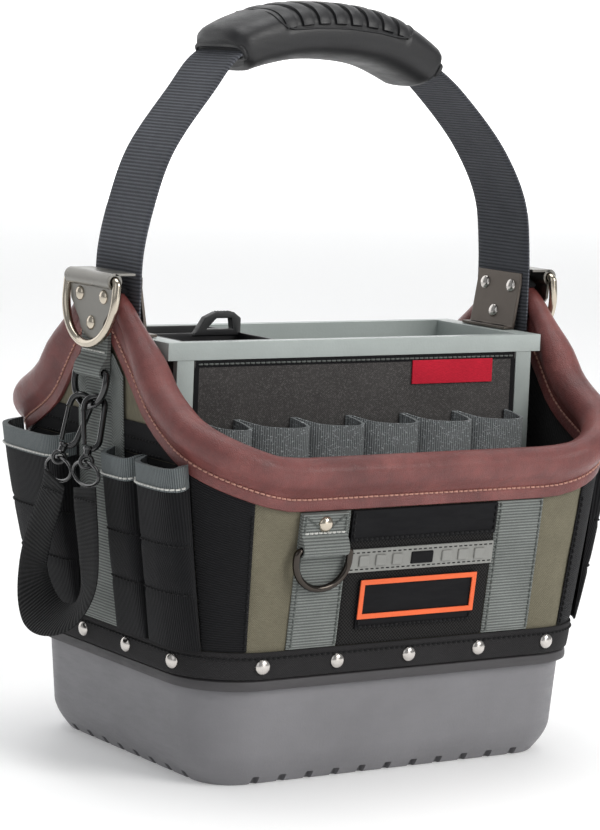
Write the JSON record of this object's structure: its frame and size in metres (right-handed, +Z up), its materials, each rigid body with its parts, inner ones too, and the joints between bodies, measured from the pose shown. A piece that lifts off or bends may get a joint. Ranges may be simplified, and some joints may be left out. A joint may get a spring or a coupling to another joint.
{
  "type": "open top tool tote bag",
  "caption": "Open top tool tote with a moulded tub, rolled leather rim, centre tray with lift-out bin, side pockets and a webbing handle with a rubber grip.",
  "frame": {"origin": "centre of the flat underside of the moulded tub", "axes": "+Z up, +X along the length towards the end without the hanging hooks, -Y out of the front with the labels"},
  "size_m": [0.3493, 0.2574, 0.4372],
  "materials": {
    "band": "coated fabric with metal rivets",
    "bin": "moulded",
    "binding": "webbing binding",
    "blackStrap": "ribbed webbing",
    "flange": "moulded, satin",
    "frame": "moulded, satin",
    "gloss": "gloss",
    "grip": "moulded rubber",
    "gunmetal": "dark plated",
    "label": "smooth label",
    "leather": "waxed, burnished on the roll",
    "loops": "speckled webbing",
    "mesh": "mesh",
    "olive": "heavy plain weave",
    "orange": "printed border",
    "pocket": "ribbed webbing",
    "red": "woven tab",
    "steel": "brushed",
    "strap": "ribbed webbing",
    "strip": "moulded rubber",
    "trayCloth": "speckled fabric",
    "tub": "moulded, satin",
    "webbing": "ribbed webbing"
  },
  "bodies": {
    "bag": {"base_tub": "tub", "base_flange": "flange", "body_shell": "olive", "rim_trim": "leather", "skirt_band": "band", "front_webbing_left": "webbing", "corner_panel_left": "pocket", "front_webbing_right": "webbing", "corner_panel_right": "pocket", "front_panel": "mesh", "left_band": "pocket", "left_webbing": "webbing", "left_pocket_rear": "pocket", "left_binding_rear": "binding", "left_pocket_middle": "pocket", "left_binding_middle": "binding", "left_pocket_front": "pocket", "left_binding_front": "binding", "right_band": "pocket", "right_webbing": "webbing", "right_pocket_rear": "pocket", "right_binding_rear": "binding", "right_pocket_middle": "pocket", "right_binding_middle": "binding", "right_pocket_front": "pocket", "right_binding_front": "binding", "upper_label": "label", "rubber_strip": "strip", "label_plate": "label", "label_frame": "orange", "front_ring_tab": "webbing", "front_d_ring": "gunmetal", "tray_frame": "frame", "tray_panel_front": "trayCloth", "tray_panel_back": "trayCloth", "tray_panel_left": "trayCloth", "tray_panel_right": "trayCloth", "red_tab": "red", "tool_loops": "loops", "handle_strap": "strap", "handle_grip": "grip", "right_outer_plate": "steel", "right_saddle_pad": "band", "right_inner_plate": "gunmetal", "left_outer_plate": "steel", "left_saddle_pad": "band", "left_inner_plate": "gunmetal", "hang_tab": "webbing", "hang_ring": "gloss", "snap_hook_rear": "gloss", "small_ring_rear": "gloss", "snap_hook_front": "gloss", "small_ring_front": "gloss", "strap_loop": "blackStrap"},
    "left_ring": {"left_d_ring": "steel"},
    "right_ring": {"right_d_ring": "steel"},
    "bin": {"parts_bin": "bin"},
    "gate_front": {"snap_gate_front": "gloss"},
    "gate_rear": {"snap_gate_rear": "gloss"}
  },
  "joints": [
    {"name": "left_ring_swing", "type": "hinge", "parent": "bag", "child": "left_ring", "pos_m": [-0.15235, 0, 0.277], "axis": [0, 1, 0], "range_deg": [0, 165]},
    {"name": "right_ring_swing", "type": "hinge", "parent": "bag", "child": "right_ring", "pos_m": [0.15235, 0, 0.277], "axis": [0, -1, 0], "range_deg": [0, 165]},
    {"name": "bin_lift", "type": "slide", "parent": "bag", "child": "bin", "axis": [0, 0, 1], "range_m": [0, 0.06]},
    {"name": "gate_front_open", "type": "hinge", "parent": "bag", "child": "gate_front", "pos_m": [-0.16239, -0.01414, 0.18485], "axis": [0.5228, 0.7521, -0.4012], "range_deg": [0, 20], "stiffness_Nm_per_rad": 0.02, "springref_deg": -11.46},
    {"name": "gate_rear_open", "type": "hinge", "parent": "bag", "child": "gate_rear", "pos_m": [-0.16258, 0.01211, 0.18423], "axis": [0.5706, 0.8209, -0.0213], "range_deg": [0, 20], "stiffness_Nm_per_rad": 0.02, "springref_deg": -11.46}
  ]
}
